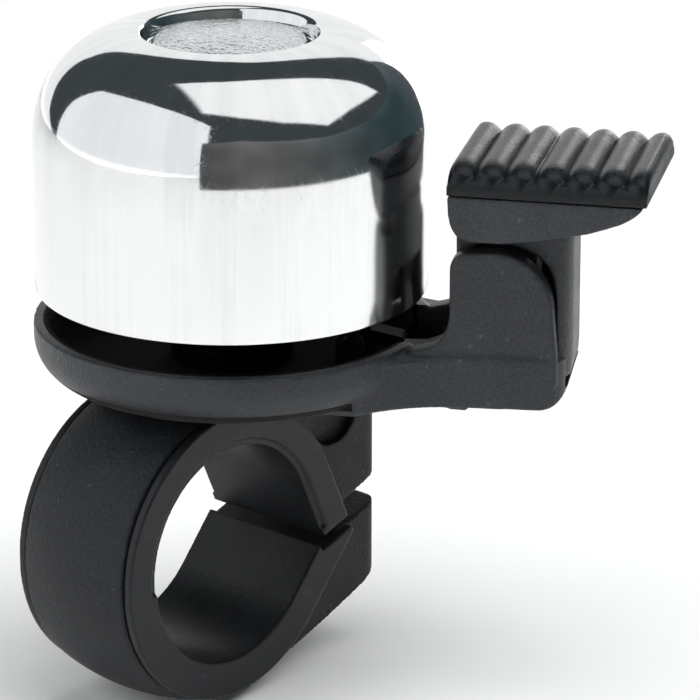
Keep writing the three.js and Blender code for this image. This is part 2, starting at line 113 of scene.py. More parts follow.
def lathe(name, profile, steps, loop=False):
    """Turns an (r, z) profile about Z. A point on the axis becomes one vertex."""
    verts, rows = [], []
    for r, z in profile:
        if r < 1e-6:
            rows.append([len(verts)])
            verts.append((0, 0, z))
            continue
        rows.append(list(range(len(verts), len(verts) + steps)))
        for i in range(steps):
            a = 2 * math.pi * i / steps
            verts.append((r * math.cos(a), r * math.sin(a), z))
    faces = []
    pairs = list(zip(rows, rows[1:] + rows[:1])) if loop else list(zip(rows, rows[1:]))
    for low, high in pairs:
        for i in range(steps):
            j = (i + 1) % steps
            if len(low) == 1 and len(high) == 1:
                continue
            if len(low) == 1:
                faces.append((low[0], high[j], high[i]))
            elif len(high) == 1:
                faces.append((low[i], low[j], high[0]))
            else:
                faces.append((low[i], low[j], high[j], high[i]))
    return as_object(name, verts, faces)


def circle(radius, x=0.0, y=0.0, steps=64):
    angles = [2 * math.pi * i / steps for i in range(steps)]
    return [(x + radius * math.cos(a), y + radius * math.sin(a)) for a in angles]


def prism(name, outline, low, high, axis="Y"):
    """Gives a flat outline its thickness along an axis.
    The outline's points are (x, z) for Y, (y, z) for X and (x, y) for Z."""
    put = {
        "X": lambda a, b, t: (t, a, b),
        "Y": lambda a, b, t: (a, t, b),
        "Z": lambda a, b, t: (a, b, t),
    }[axis]
    n = len(outline)
    verts = [put(a, b, low) for a, b in outline] + [put(a, b, high) for a, b in outline]
    faces = [tuple(range(n)), tuple(range(2 * n - 1, n - 1, -1))]
    faces += [(i, (i + 1) % n, n + (i + 1) % n, n + i) for i in range(n)]
    return as_object(name, verts, faces)


def block(x0, x1, y0, y1, z0, z1):
    return prism("block", [(x0, z0), (x1, z0), (x1, z1), (x0, z1)], y0, y1)


def pin(radius, x, z, y0, y1, steps=64):
    return prism("pin", circle(radius, x, z, steps), y0, y1)


def disc(radius, x, y, z0, z1, steps=64):
    return prism("disc", circle(radius, x, y, steps), z0, z1, "Z")


def curve(*parts, steps=10):
    """An outline from points, ("q", control, end) curves that start at the point before,
    and ("arc", centre, radius, start, end) arcs."""
    points = []
    for part in parts:
        if part[0] == "q":
            (x0, y0), (x1, y1), (x2, y2) = points[-1], part[1], part[2]
            for i in range(1, steps + 1):
                t = i / steps
                points.append(((1 - t) ** 2 * x0 + 2 * t * (1 - t) * x1 + t * t * x2,
                               (1 - t) ** 2 * y0 + 2 * t * (1 - t) * y1 + t * t * y2))
        elif part[0] == "arc":
            (cx, cy), radius, start, end = part[1:]
            count = max(4, int(abs(end - start) / math.radians(4)))
            for i in range(count + 1):
                a = start + (end - start) * i / count
                points.append((cx + radius * math.cos(a), cy + radius * math.sin(a)))
        else:
            points.append(part)
    return points


def applied(obj):
    """Bakes the modifiers into the mesh."""
    view = bpy.context.evaluated_depsgraph_get()
    mesh = bpy.data.meshes.new_from_object(obj.evaluated_get(view))
    old = obj.data
    obj.modifiers.clear()
    obj.data = mesh
    bpy.data.meshes.remove(old)
    return obj


def combine(obj, *tools, how="DIFFERENCE"):
    for tool in tools:
        step = obj.modifiers.new("combine", "BOOLEAN")
        step.operation = how
        step.solver = "MANIFOLD"
        step.object = tool
        applied(obj)
        bpy.data.objects.remove(tool)
    return obj


def moulded(obj, voxel, rounds):
    """Rebuilds the mesh evenly and softens its edges, as a mould does."""
    step = obj.modifiers.new("even", "REMESH")
    step.mode = "VOXEL"
    step.voxel_size = voxel
    step.adaptivity = 0
    soft = obj.modifiers.new("soft", "SMOOTH")
    soft.factor = 0.5
    soft.iterations = rounds
    return applied(obj)


def shade(obj, angle=None):
    for face in obj.data.polygons:
        face.use_smooth = True
    if angle is not None:
        obj.data.set_sharp_from_angle(angle=math.radians(angle))
    return obj


def placed(obj, place, body, slot, look, *nodes):
    """Puts a piece made in millimetres where its CAD nodes are, on their body. The slot is not used."""
    obj.data.transform(place)
    obj.data.materials.clear()
    obj.data.materials.append(look)
    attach(obj, body)
    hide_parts(*nodes)
    return obj


# ---- looks ----------------------------------------------------------------------------------
class Nodes:
    """A short way to write a material's nodes."""

    def __init__(self, name):
        self.look = bpy.data.materials.new(name)
        self.look.use_nodes = True
        self.tree = self.look.node_tree
        self.shader = next(n for n in self.tree.nodes if n.type == "BSDF_PRINCIPLED")
        self.place = self.add("ShaderNodeTexCoord").outputs["Object"]

    def add(self, kind, **values):
        node = self.tree.nodes.new(kind)
        for key, value in values.items():
            setattr(node, key, value)
        return node

    def link(self, source, target):
        self.tree.links.new(source, target)

    def set(self, **values):
        for key, value in values.items():
            self.shader.inputs[key.replace("_", " ")].default_value = value

    def stretched(self, x, y, z, lean=(0.0, 0.0, 0.0)):
        node = self.add("ShaderNodeMapping", vector_type="TEXTURE" if any(lean) else "POINT")
        scale = tuple(1 / v for v in (x, y, z)) if any(lean) else (x, y, z)
        node.inputs["Scale"].default_value = scale
        node.inputs["Rotation"].default_value = lean
        self.link(self.place, node.inputs["Vector"])
        return node.outputs["Vector"]

    def noise(self, vector, scale, detail=3.0, rough=0.55):
        node = self.add("ShaderNodeTexNoise")
        node.inputs["Scale"].default_value = scale
        node.inputs["Detail"].default_value = detail
        node.inputs["Roughness"].default_value = rough
        self.link(vector, node.inputs["Vector"])
        return node.outputs["Fac"]

    def cells(self, vector, scale, smooth=0.6):
        node = self.add("ShaderNodeTexVoronoi", feature="SMOOTH_F1")
        node.inputs["Scale"].default_value = scale
        node.inputs["Smoothness"].default_value = smooth
        self.link(vector, node.inputs["Vector"])
        return node.outputs["Distance"]

    def math(self, how, a, b=None, c=None):
        node = self.add("ShaderNodeMath", operation=how)
        for i, value in enumerate((a, b, c)):
            if value is None:
                continue
            if isinstance(value, (int, float)):
                node.inputs[i].default_value = value
            else:
                self.link(value, node.inputs[i])
        return node.outputs[0]

    def spread(self, value, low, high, to_low, to_high):
        node = self.add("ShaderNodeMapRange")
        for key, number in zip(("From Min", "From Max", "To Min", "To Max"), (low, high, to_low, to_high)):
            node.inputs[key].default_value = number
        self.link(value, node.inputs["Value"])
        return node.outputs["Result"]

    def ramp(self, value, *stops):
        node = self.add("ShaderNodeValToRGB")
        marks = node.color_ramp.elements
        while len(marks) < len(stops):
            marks.new(0.5)
        for mark, (where, colour) in zip(marks, stops):
            mark.position = where
            mark.color = (*colour, 1)
        self.link(value, node.inputs["Fac"])
        return node.outputs["Color"]

    def blend(self, colour, other, amount):
        node = self.add("ShaderNodeMix", data_type="RGBA")
        self.link(amount, node.inputs["Factor"])
        self.link(colour, node.inputs["A"])
        node.inputs["B"].default_value = (*other, 1)
        return node.outputs["Result"]

    def bump(self, height, depth, under=None):
        node = self.add("ShaderNodeBump")
        node.inputs["Strength"].default_value = 1.0
        node.inputs["Distance"].default_value = depth
        self.link(height, node.inputs["Height"])
        if under is not None:
            self.link(under, node.inputs["Normal"])
        return node.outputs["Normal"]

    def axes(self):
        node = self.add("ShaderNodeSeparateXYZ")
        self.link(self.place, node.inputs["Vector"])
        return node.outputs


def plastic(name, dark, light, rough, grain, depth, shine=0.5, gloss_above=None, painted_shade_inside=None):
    """Moulded plastic: a fine spark-eroded grain, patchy sheen, pale specks and slightly uneven colour.
    gloss_above is a height above which it is glossier. The last argument is a radius round the bell's axis
    and a height, within and above which shade is painted on: the colour is made near black and the roughness
    full."""
    n = Nodes(name)
    fine = n.noise(n.place, grain, 4.0, 0.65)
    patch = n.noise(n.place, 150.0, 3.0)
    pits = n.cells(n.place, grain * 0.7)
    tone = n.math("ADD", n.math("MULTIPLY", fine, 0.75), n.math("MULTIPLY", patch, 0.25))
    middle = tuple((a + b) / 2 for a, b in zip(dark, light))
    specks = n.noise(n.place, grain * 0.33, 1.0)
    pale = n.math("MULTIPLY", n.spread(specks, 0.7, 0.78, 0.0, 1.0), 0.35)
    mixed = n.math("ADD", tone, pale)
    colour = n.ramp(mixed, (0.38, dark), (0.5, middle), (0.62, light), (0.95, tuple(c * 2.2 for c in light)))
    # painted shade: a mask for inside the pan, within the radius round the bell's axis and above the height
    if painted_shade_inside is not None:
        radius, height_from = painted_shade_inside
        x, y, z = n.axes()
        away = n.add("ShaderNodeVectorMath", operation="DISTANCE")
        flat_place = n.add("ShaderNodeCombineXYZ")
        n.link(x, flat_place.inputs["X"])
        n.link(y, flat_place.inputs["Y"])
        n.link(flat_place.outputs[0], away.inputs[0])
        away.inputs[1].default_value = (AXIS.x, AXIS.y, 0)
        inside = n.math("MULTIPLY", n.math("LESS_THAN", away.outputs["Value"], radius),
                        n.math("GREATER_THAN", z, height_from))
        # painted shade: near-black colour where the mask is set
        colour = n.blend(colour, (0.001, 0.001, 0.001), inside)
    n.link(colour, n.shader.inputs["Base Color"])
    sheen = n.spread(n.math("ADD", fine, patch), 0.7, 1.3, rough - 0.09, rough + 0.09)
    if gloss_above is not None:
        z = n.axes()[2]
        sheen = n.math("SUBTRACT", sheen, n.spread(z, gloss_above - 0.0004, gloss_above + 0.0004, 0.0, 0.16))
    # painted shade: full roughness where the mask is set, so no highlight shows there
    if painted_shade_inside is not None:
        sheen = n.math("MAXIMUM", sheen, inside)
    n.link(sheen, n.shader.inputs["Roughness"])
    height = n.math("ADD", n.math("MULTIPLY", fine, 0.7), n.math("MULTIPLY", pits, 0.5))
    n.link(n.bump(height, depth), n.shader.inputs["Normal"])
    n.set(IOR=1.5, Specular_IOR_Level=shine)
    return n.look


def steel_look(name, colour, rough, scale):
    n = Nodes(name)
    streaks = n.noise(n.stretched(1, 1, 0.15), scale, 3.0)
    blotch = n.noise(n.place, 260.0, 2.0)
    duller = tuple(c * 0.82 for c in colour)
    n.link(n.ramp(blotch, (0.3, duller), (0.7, colour)), n.shader.inputs["Base Color"])
    n.link(n.spread(streaks, 0.3, 0.7, rough - 0.07, rough + 0.1), n.shader.inputs["Roughness"])
    n.link(n.bump(streaks, 0.00001), n.shader.inputs["Normal"])
    n.set(Metallic=1.0)
    return n.look


def dome_look():
    """Polished aluminium: upright brushing on the wall, faint turning marks and scratches above."""
    n = Nodes("polished_aluminium")
    x, y, z = n.axes()
    cx = n.math("SUBTRACT", x, AXIS.x)
    cy = n.math("SUBTRACT", y, AXIS.y)
    angle = n.math("ARCTAN2", cy, cx)
    radius = n.math("SQRT", n.math("ADD", n.math("MULTIPLY", cx, cx), n.math("MULTIPLY", cy, cy)))
    wall = n.spread(z, AXIS.z + 0.0115, AXIS.z + 0.0185, 1.0, 0.0)
    upright = n.add("ShaderNodeCombineXYZ")
    n.link(n.math("MULTIPLY", n.math("SINE", angle), 0.0196), upright.inputs["X"])
    n.link(n.math("MULTIPLY", n.math("COSINE", angle), 0.0196), upright.inputs["Y"])
    n.link(n.math("MULTIPLY", z, 0.02), upright.inputs["Z"])
    brushed = n.noise(upright.outputs[0], 2600.0, 4.0, 0.7)
    broad = n.noise(upright.outputs[0], 420.0, 2.0)
    turned = n.add("ShaderNodeCombineXYZ")
    n.link(radius, turned.inputs["X"])
    n.link(n.math("MULTIPLY", angle, 0.0005), turned.inputs["Y"])
    n.link(z, turned.inputs["Z"])
    rings = n.noise(turned.outputs[0], 3200.0, 3.0, 0.6)
    cloud = n.noise(n.place, 180.0, 3.0)
    scratches = None
    for lean, scale in (((0.0, 0.5, 0.7), 5200.0), ((0.35, -0.45, 0.4), 4600.0),
                        ((0.1, 1.2, 0.7), 6400.0)):
        lines = n.spread(n.noise(n.stretched(1, 1, 0.012, lean), scale, 1.2), 0.6, 0.76, 0.0, 1.0)
        scratches = lines if scratches is None else n.math("MAXIMUM", scratches, lines)
    height = n.math("ADD", n.math("MULTIPLY", brushed, wall), n.math("MULTIPLY", rings, 0.2))
    shoulder = n.spread(wall, 0.0, 1.0, 1.0, 0.12)
    scratches = n.math("MULTIPLY", scratches, shoulder)
    n.link(n.bump(height, 0.000004), n.shader.inputs["Normal"])
    base = n.math("ADD", n.math("MULTIPLY", n.math("MULTIPLY", broad, wall), 0.12),
                  n.math("MULTIPLY", cloud, 0.08))
    base = n.math("ADD", base, n.math("MULTIPLY", scratches, 0.13))
    n.link(n.math("ADD", base, n.math("MULTIPLY", wall, 0.04)), n.shader.inputs["Roughness"])
    fine_streaks = n.math("MULTIPLY", brushed, n.math("ADD", wall, 0.2))
    streaks = n.math("MULTIPLY", n.math("ADD", broad, fine_streaks), 0.5)
    n.link(n.ramp(n.math("ADD", n.math("MULTIPLY", cloud, 0.3), streaks),
                  (0.36, (0.76, 0.765, 0.77)), (0.68, (0.89, 0.89, 0.89))), n.shader.inputs["Base Color"])
    n.set(Metallic=1.0)
    return n.look


def cap_look():
    n = Nodes("textured_aluminium")
    pebbles = n.cells(n.place, 2400.0, 0.7)
    fine = n.noise(n.place, 5200.0, 3.0)
    cloud = n.noise(n.place, 300.0, 2.0)
    height = n.math("ADD", n.math("MULTIPLY", pebbles, 1.0), n.math("MULTIPLY", fine, 0.6))
    n.link(n.bump(height, 0.000075), n.shader.inputs["Normal"])
    n.link(n.spread(cloud, 0.3, 0.7, 0.16, 0.3), n.shader.inputs["Roughness"])
    n.link(n.ramp(fine, (0.35, (0.62, 0.64, 0.66)), (0.62, (0.86, 0.87, 0.88))),
           n.shader.inputs["Base Color"])
    n.set(Metallic=1.0)
    return n.look


LOOK = {
    "dome": dome_look(),
    "cap": cap_look(),
    # the base plastic gets painted shade: near black inside the pan, within 18.9 mm of the bell's axis and
    # above 8.5 mm below its rim
    "base": plastic("base_plastic", (0.008, 0.0098, 0.0118), (0.0245, 0.0278, 0.0322), 0.42, 3600.0,
                    0.00009, painted_shade_inside=(0.0189, AXIS.z - 0.0085)),
    "lever": plastic("lever_plastic", (0.0115, 0.0136, 0.016), (0.033, 0.0368, 0.0418), 0.42, 3600.0,
                     0.00009),
    "grip": plastic("grip_plastic", (0.002, 0.0028, 0.0038), (0.008, 0.0098, 0.012), 0.47, 4200.0,
                    0.00004, 0.34, gloss_above=AXIS.z + 0.0139),
    "band": plastic("clamp_plastic", (0.0036, 0.0044, 0.0056), (0.0155, 0.0178, 0.0208), 0.5, 3600.0,
                    0.00009, 0.3),
    "liner": plastic("liner_plastic", (0.005, 0.0058, 0.007), (0.011, 0.0125, 0.0145), 0.38, 3000.0,
                     0.00003, 0.3),
    "black": plastic("black_acetal", (0.001, 0.001, 0.001), (0.003, 0.003, 0.003), 0.6, 3000.0, 0.00002, 0.1),
    "rubber": plastic("seat_rubber", (0.006, 0.006, 0.006), (0.014, 0.014, 0.014), 0.8, 3000.0, 0.00003),
    "zinc": steel_look("zinc_steel", (0.66, 0.67, 0.68), 0.3, 1800.0),
    "satin": steel_look("satin_steel", (0.56, 0.57, 0.58), 0.36, 2200.0),
}


# ---- dome -----------------------------------------------------------------------------------
def dome_side(inset, steps):
    """The rounded stretch between the wall and the crown."""
    wall, top = DOME_R - inset, CROWN_Z - inset
    points = []
    for i in range(1, steps + 1):
        a = math.pi / 2 * i / steps
        points.append((CROWN_R + (wall - CROWN_R) * math.cos(a) ** 0.95 if i < steps else CROWN_R,
                       SHOULDER_Z + (top - SHOULDER_Z) * math.sin(a) ** 0.95))
    return points


def bell_dome():
    rim = [(DOME_R - DOME_WALL + 0.25, 0.0), (DOME_R - 0.3, 0.0), (DOME_R - 0.09, 0.09), (DOME_R, 0.3)]
    wall = [(DOME_R, SHOULDER_Z * i / 6) for i in range(1, 7)]
    outer = rim + wall + dome_side(0, 48)
    outer += curve((9.22, CROWN_Z - 0.01),
                   ("q", (8.84, CROWN_Z - 0.06), (RECESS_R + 0.02, CROWN_Z - 0.5)),
                   (RECESS_R - 0.22, RECESS_Z + 0.5),
                   ("q", (RECESS_R - 0.3, RECESS_Z), (RECESS_R - 0.7, RECESS_Z)), steps=8)
    outer += [(WELL_R + 0.2, RECESS_Z), (WELL_R, RECESS_Z - 0.2), (WELL_R - 0.2, WELL_Z),
              (SCREW_HOLE_R, WELL_Z)]
    inner = [(DOME_R - DOME_WALL, 0.25), (DOME_R - DOME_WALL, SHOULDER_Z)]
    inner += dome_side(DOME_WALL, 30)[:-1]
    inner += [(RECESS_R + 1.1, CROWN_Z - DOME_WALL - 0.3), (RECESS_R + 0.6, RECESS_Z - DOME_WALL),
              (WELL_R + 1, RECESS_Z - DOME_WALL), (WELL_R + 0.9, WELL_Z - DOME_WALL),
              (SCREW_HOLE_R, WELL_Z - DOME_WALL)]
    obj = lathe("dome_shell", outer + inner[::-1], 224, loop=True)
    shade(obj, 40)
    return placed(obj, PLACE_DOME, "clamp", "dome_aluminium", LOOK["dome"], "bell_dome")


def dome_cap():
    rings, low, face_r = 60, RECESS_Z + GAP, CAP_R - 0.15
    profile = [(0, low), (CAP_R - 0.1, low), (CAP_R, low + 0.1)]
    profile += [(CAP_R, 25.0), (CAP_R - 0.04, 25.1), (face_r, CAP_EDGE_Z)]
    for i in range(1, rings + 1):
        r = face_r * (1 - i / rings)
        profile.append((r, CAP_TOP_Z - 0.43 * (r / face_r) ** 2))
    obj = lathe("dome_badge", profile, 180)
    for v in obj.data.vertices:
        if v.co.z > 25.1 and math.hypot(v.co.x, v.co.y) < 7.3:
            p = v.co * 1.0
            v.co.z += 0.035 * noise.noise(p * 1.4) + 0.02 * noise.noise(p * 3.1) - 0.03
    shade(obj, 40)
    return placed(obj, PLACE_DOME, "clamp", "cap_aluminium", LOOK["cap"], "dome_cap")


# ---- base -----------------------------------------------------------------------------------
def base_housing():
    corner = [(LIP_R - PAN_CORNER * (1 - math.sin(a)), BASE_Z + PAN_CORNER * (1 - math.cos(a)))
              for a in (math.pi / 2 * i / 14 for i in range(15))]
    pan = lathe("base", [(0, BASE_Z)] + corner + [(LIP_R, LIP_Z), (0, LIP_Z)], 200)
    plan = curve((8, -12), (14.2, -12.6), ("q", (18.4, -8.9), (23, -8.5)), (32.2, -ARM_HALF),
                 ("q", (34.1, -7.9), (ARM_END - 0.25, -5)), ("q", (ARM_END, -3), (ARM_END, 0)),
                 ("q", (ARM_END, 3), (ARM_END - 0.25, 5)), ("q", (34.1, 7.9), (32.2, ARM_HALF)),
                 (23, 8.5), ("q", (18.4, 8.9), (14.2, 12.6)), (8, 12))
    side = curve((8, BASE_Z), (31.9, BASE_Z), ("q", (34.3, -8.9), (ARM_END, -6.2)), (ARM_END, ARM_TOP),
                 (8, ARM_TOP))
    arm = prism("arm", plan, BASE_Z, BASE_Z + 7.8, "Z")
    combine(arm, prism("side", side, -16, 16), how="INTERSECT")
    cheeks = prism("cheeks", curve(
        (17, -6), (18.9, -3.7), (20.6, -3.3), ("q", (22.9, -2.6), (22.9, 0.8)), (22.9, 5.0),
        ("q", (23.0, 6.5), (24.6, 6.75)), (27.2, 6.9), ("arc", (27.2, 1.05), 5.85, math.pi / 2, 0.1),
        (33.55, -4.4), (33.55, -6.5), (17, -6.5)), -CHEEK_HALF, CHEEK_HALF)
    bump = prism("bump", [(20.6, -8.9), (25.2, -8.9), (24.6, -9.75), (20.6, -9.4)], -7.4, 7.4)
    combine(pan, arm, cheeks, bump, how="UNION")
    inside = lathe("inside", [(0, FLOOR_Z), (15.4, FLOOR_Z), (17.6, -6.9), (18.4, -5.2), (18.4, 2), (0, 2)],
                   200)
    sweep = pin(STEM_SWEEP + GAP, *PIVOT, -CHANNEL_HALF, CHANNEL_HALF, 200)
    combine(sweep, block(32, 40, -20, 20, -8, 20), how="INTERSECT")
    combine(pan, inside, block(12, 33.1, -CHANNEL_HALF, CHANNEL_HALF, -7.9, 20), sweep,
            block(33, 40, -CHANNEL_HALF, CHANNEL_HALF, -6.6, 20), disc(4.3, 0, 0, -12, 0),
            pin(PIN_R + GAP, *PIVOT, -6.8, 6.8))
    ears = prism("ears", [(10.9, -8.2), (14.1, -8.2), (13.9, -4.0), (13.2, -3.3), (11.8, -3.3), (11.1, -4.0)],
                 -4.5, 4.5)
    combine(ears, block(8, 20, -3.3, 3.3, -7.7, 0), pin(HAMMER_PIN_R + 0.25, *HAMMER_PIVOT, -5, 5))
    combine(pan, ears, how="UNION")
    obj = moulded(pan, 0.2, 5)
    obj.name = "base_moulding"
    shade(obj)
    return placed(obj, PLACE_ARM, "base", "base_plastic", LOOK["base"], "base_housing")


# ---- lever ----------------------------------------------------------------------------------
def turned_for_thumb(obj):
    """The pad is turned a little in plan, about its middle."""
    about = Matrix.Translation((PAD_MIDDLE, 0, 0))
    obj.data.transform(about @ Matrix.Rotation(PAD_TURN, 4, "Z") @ about.inverted())
    return obj


def lever_body():
    top = PAD_SEAM - SEAM
    under = prism("under", curve(
        (PAD_START, top), (23.25, 11.3), ("q", (23.35, 8.5), (25.2, 8.1)), (28.7, 8.15), (31.4, 8.55),
        (36.7, 9.6), (38.8, 10.3), ("q", (41.6, 11.3), (42.35, top))), -PAD_HALF, PAD_HALF)
    turned_for_thumb(under)
    hood = prism("hood", [(23.2, 9.2), (23.3, 2.6), (24.1, 2.6), (24.3, 5.8), (25.3, 6.9), (28.5, 7.0),
                          (29.9, 6.6), (31.4, 5.8), (32.3, 4.9), (32.8, 3.8), (33.1, 1.5), (33.2, -6.6),
                          (34.5, -6.6), (34.65, -5.0), (34.6, 7.0), (34.8, 8.2), (35.6, 9.6)],
                 -LEVER_HALF, LEVER_HALF)
    plan = prism("plan", curve((20, -LEVER_HALF), (33.0, -LEVER_HALF), ("q", (34.3, -5.3), (34.62, -3.2)),
                               (36, -3.2), (36, 3.2), (34.62, 3.2), ("q", (34.3, 5.3), (33.0, LEVER_HALF)),
                               (20, LEVER_HALF)), -15, 15, "Z")
    combine(hood, plan, how="INTERSECT")
    core = prism("core", [(24.8, 7.6), (25.2, 2.4), (25.6, 0.3), (26.8, -1.0), (28.4, -1.2), (29.9, -0.4),
                          (30.7, 1.4), (30.8, 6.9), (29.5, 7.6)], -1.4, 4.6)
    tail = prism("tail", [(27.4, -1.0), (26.4, 1.2), (25.0, 0.2), (21.9, -4.6), (19.6, -5.5), (17.2, -5.6),
                          (16.7, -5.9), (16.7, -6.5), (17.2, -6.8), (20.6, -6.7), (23.2, -5.4)], -1.4, 1.8)
    combine(under, hood, core, tail, how="UNION")
    combine(under, pin(PIN_R + GAP, *PIVOT, -8, 8))
    obj = moulded(under, 0.17, 5)
    obj.name = "lever_moulding"
    shade(obj)
    return placed(obj, PLACE_ARM, "lever", "lever_plastic", LOOK["lever"], "lever_body")


def pad_height(x, y):
    """Height of the ribbed top: rounded ribs with blunt noses that lie over the bevelled long edges."""
    a = abs(y)
    slope = max(0.0, (a - BEVEL_START) / (PAD_HALF - BEVEL_START))
    floor = VALLEY_Z - BEVEL_DROP * slope ** 2.2
    rib = min(max(round((x - FIRST_RIDGE) / RIDGE_PITCH), 0), RIDGES - 1)
    u = (x - FIRST_RIDGE - rib * RIDGE_PITCH) / (RIDGE_PITCH / 2)
    nose = max(0.0, (a - NOSE_START) / NOSE_LENGTH + 0.4 * u * u)
    crest = max(0.0, 1 - abs(u) ** 2.2) ** 0.85 * max(0.0, 1 - nose ** 4) ** 0.5
    edge = min(x - PAD_START, PAD_END - x, RIM_WIDTH, (PAD_HALF - a) * 1.1)
    return floor + (RIDGE_Z - VALLEY_Z) * crest - RIM_DROP * (1 - edge / RIM_WIDTH) ** 2


def thumb_grip():
    across, length = 130, 300
    verts, rows = [], []
    for i in range(length + 1):
        x = PAD_START + (PAD_END - PAD_START) * i / length
        row = []
        for k in range(across + 1):
            y = PAD_HALF * (2 * k / across - 1)
            row.append(len(verts))
            verts.append((x, y, pad_height(x, y)))
        rows.append(row)
    faces = [(rows[i][k], rows[i + 1][k], rows[i + 1][k + 1], rows[i][k + 1])
             for i in range(length) for k in range(across)]
    border = rows[0] + [row[-1] for row in rows[1:]] + rows[-1][-2::-1] + [row[0] for row in rows[-2:0:-1]]
    below = []
    for level in (13.4, 13.0, PAD_SEAM + SEAM, PAD_SEAM):
        below.append(list(range(len(verts), len(verts) + len(border))))
        pull = 0.1 if level == PAD_SEAM else 0.0
        verts += [(verts[i][0] - math.copysign(pull, verts[i][0] - PAD_MIDDLE),
                   verts[i][1] - math.copysign(pull, verts[i][1]), level) for i in border]
    for high, low in zip([border] + below, below):
        for i in range(len(border)):
            j = (i + 1) % len(border)
            faces.append((high[i], high[j], low[j], low[i]))
    faces.append(tuple(below[-1]))
    obj = turned_for_thumb(as_object("grip_pad", verts, faces))
    shade(obj, 55)
    return placed(obj, PLACE_ARM, "lever", "grip_plastic", LOOK["grip"], "thumb_grip")


# ---- clamp ----------------------------------------------------------------------------------
def teardrop(radius):
    """A circle whose side is drawn out into a point, as the handlebar bore is at the split."""
    reach = radius / math.cos(TEAR_HALF)
    count = 150
    start, end = TEAR_TURN + TEAR_HALF, TEAR_TURN - TEAR_HALF + 2 * math.pi
    angles = [start + (end - start) * i / count for i in range(count + 1)]
    points = [(reach * math.cos(TEAR_TURN), reach * math.sin(TEAR_TURN))]
    return points + [(radius * math.cos(a), radius * math.sin(a)) for a in angles]


def bore(radius, low, high):
    return prism("bore", teardrop(radius), low, high, "X")


def split_cut(width):
    """The slanting split. The band and the liner share its upper face, and it is wider in the band."""
    c, s, top = math.cos(SPLIT["tilt"]), math.sin(SPLIT["tilt"]), SPLIT["gap"] / 2
    corners = [(-2.4, top - width), (20, top - width), (20, top), (-2.4, top)]
    outline = [(SPLIT["y"] + c * a - s * b, SPLIT["z"] + s * a + c * b) for a, b in corners]
    return prism("split", outline, -12, 12, "X")


def clamp_band():
    crown = []
    for i in range(25):
        x = BAND_HALF * (i / 12 - 1)
        crown.append((BAND_CROWN_R - (BAND_CROWN_R - BAND_EDGE_R) * (x / BAND_HALF) ** 2, x))
    band = lathe("band", [(0, -BAND_HALF)] + crown + [(0, BAND_HALF)], 200)
    band.data.transform(Matrix.Rotation(math.pi / 2, 4, "Y"))
    side = prism("side", curve((0, TOP_Z), (LUG_Y - 1.2, TOP_Z), (LUG_Y, TOP_Z - 1.2), (LUG_Y, -7.9),
                               ("q", (LUG_Y, -9.3), (LUG_Y - 2.4, -10.2)), ("q", (12.5, -13.9), (4.6, -15.6)),
                               (0, -14)),
                 -LUG_HALF, LUG_HALF, "X")
    plan = prism("plan", curve((-LUG_HALF, 0), (LUG_HALF, 0), (LUG_HALF, LUG_Y - 1.8),
                               ("q", (LUG_HALF, LUG_Y), (LUG_HALF - 1.8, LUG_Y)), (-LUG_HALF + 1.8, LUG_Y),
                               ("q", (-LUG_HALF, LUG_Y), (-LUG_HALF, LUG_Y - 1.8))), -30, 30, "Z")
    combine(side, plan, how="INTERSECT")
    combine(band, block(LUG_HALF, 20, 12.2, 40, -20, 40), block(-20, -LUG_HALF, 12.2, 40, -20, 40))
    combine(band, side, how="UNION")
    mark = prism("mark", circle(MARK_R, MARK_Y, MARK_Z), LUG_HALF - MARK_DEPTH, LUG_HALF + MARK_DEPTH, "X")
    nut_pocket = disc(NUT_R + 0.35, 0, SCREW_Y, 6.2, 30, 6)
    head_pocket = disc(3.1, 0, SCREW_Y, -30, -5.2)
    screw_hole = disc(1.8, 0, SCREW_Y, -10, 10)
    post_hole, post_pocket = disc(1.9, 0, BELL_Y, 5, 20), disc(3.3, 0, BELL_Y, 5, 14.4)
    combine(band, block(-20, 20, -30, 40, TOP_Z, 40), bore(BAND_BORE, -12, 12), split_cut(SPLIT["band"]),
            mark, nut_pocket, head_pocket, screw_hole, post_hole, post_pocket)
    obj = moulded(band, 0.2, 5)
    obj.name = "clamp_moulding"
    shade(obj)
    return placed(obj, PLACE_CLAMP, "clamp", "clamp_plastic", LOOK["band"], "clamp_band")


def clamp_liner():
    liner = bore(LINER_OUT, -LINER_HALF, LINER_HALF)
    for way in (-1, 1):
        near, far = sorted((way * (BAND_HALF + SEAM), way * LINER_HALF))
        combine(liner, bore(LINER_FLANGE, near, far), how="UNION")
        near, far = sorted((way * (LINER_HALF - 0.35), way * 12))
        combine(liner, combine(bore(LINER_RIM, near, far), block(-20, 20, -20, 20, -1, 20), how="INTERSECT"))
    combine(liner, bore(LINER_BORE, -12, 12), split_cut(SPLIT["gap"]))
    obj = moulded(liner, 0.15, 3)
    obj.name = "liner_moulding"
    shade(obj)
    return placed(obj, PLACE_CLAMP, "clamp", "liner_plastic", LOOK["liner"], "clamp_liner")


bell_dome()
dome_cap()
base_housing()
lever_body()
thumb_grip()
clamp_band()
clamp_liner()

for node, look in {
    "clamp_screw": "zinc", "clamp_washer": "zinc", "clamp_nut": "zinc", "center_post": "black",
    "post_screw": "zinc", "swivel_washer": "black", "dome_screw": "zinc", "dome_washer": "zinc",
    "dome_seat": "rubber",
    "lever_pin": "zinc", "hammer_pin": "black", "lever_spring": "satin", "hammer_spring": "satin",
    "hammer_arm": "black", "hammer_head": "satin",
}.items():
    mesh = frame["nodes"][node].data
    mesh.materials.clear()
    mesh.materials.append(LOOK[look])


# ---- stage, light and camera ----------------------------------------------------------------
def staged(obj, look, *unseen_by):
    """Gives a stage mesh its look and leaves it out for the kinds of ray that are named."""
    obj.data.materials.append(look)
    for ray in unseen_by:
        setattr(obj, "visible_" + ray, False)
    return obj


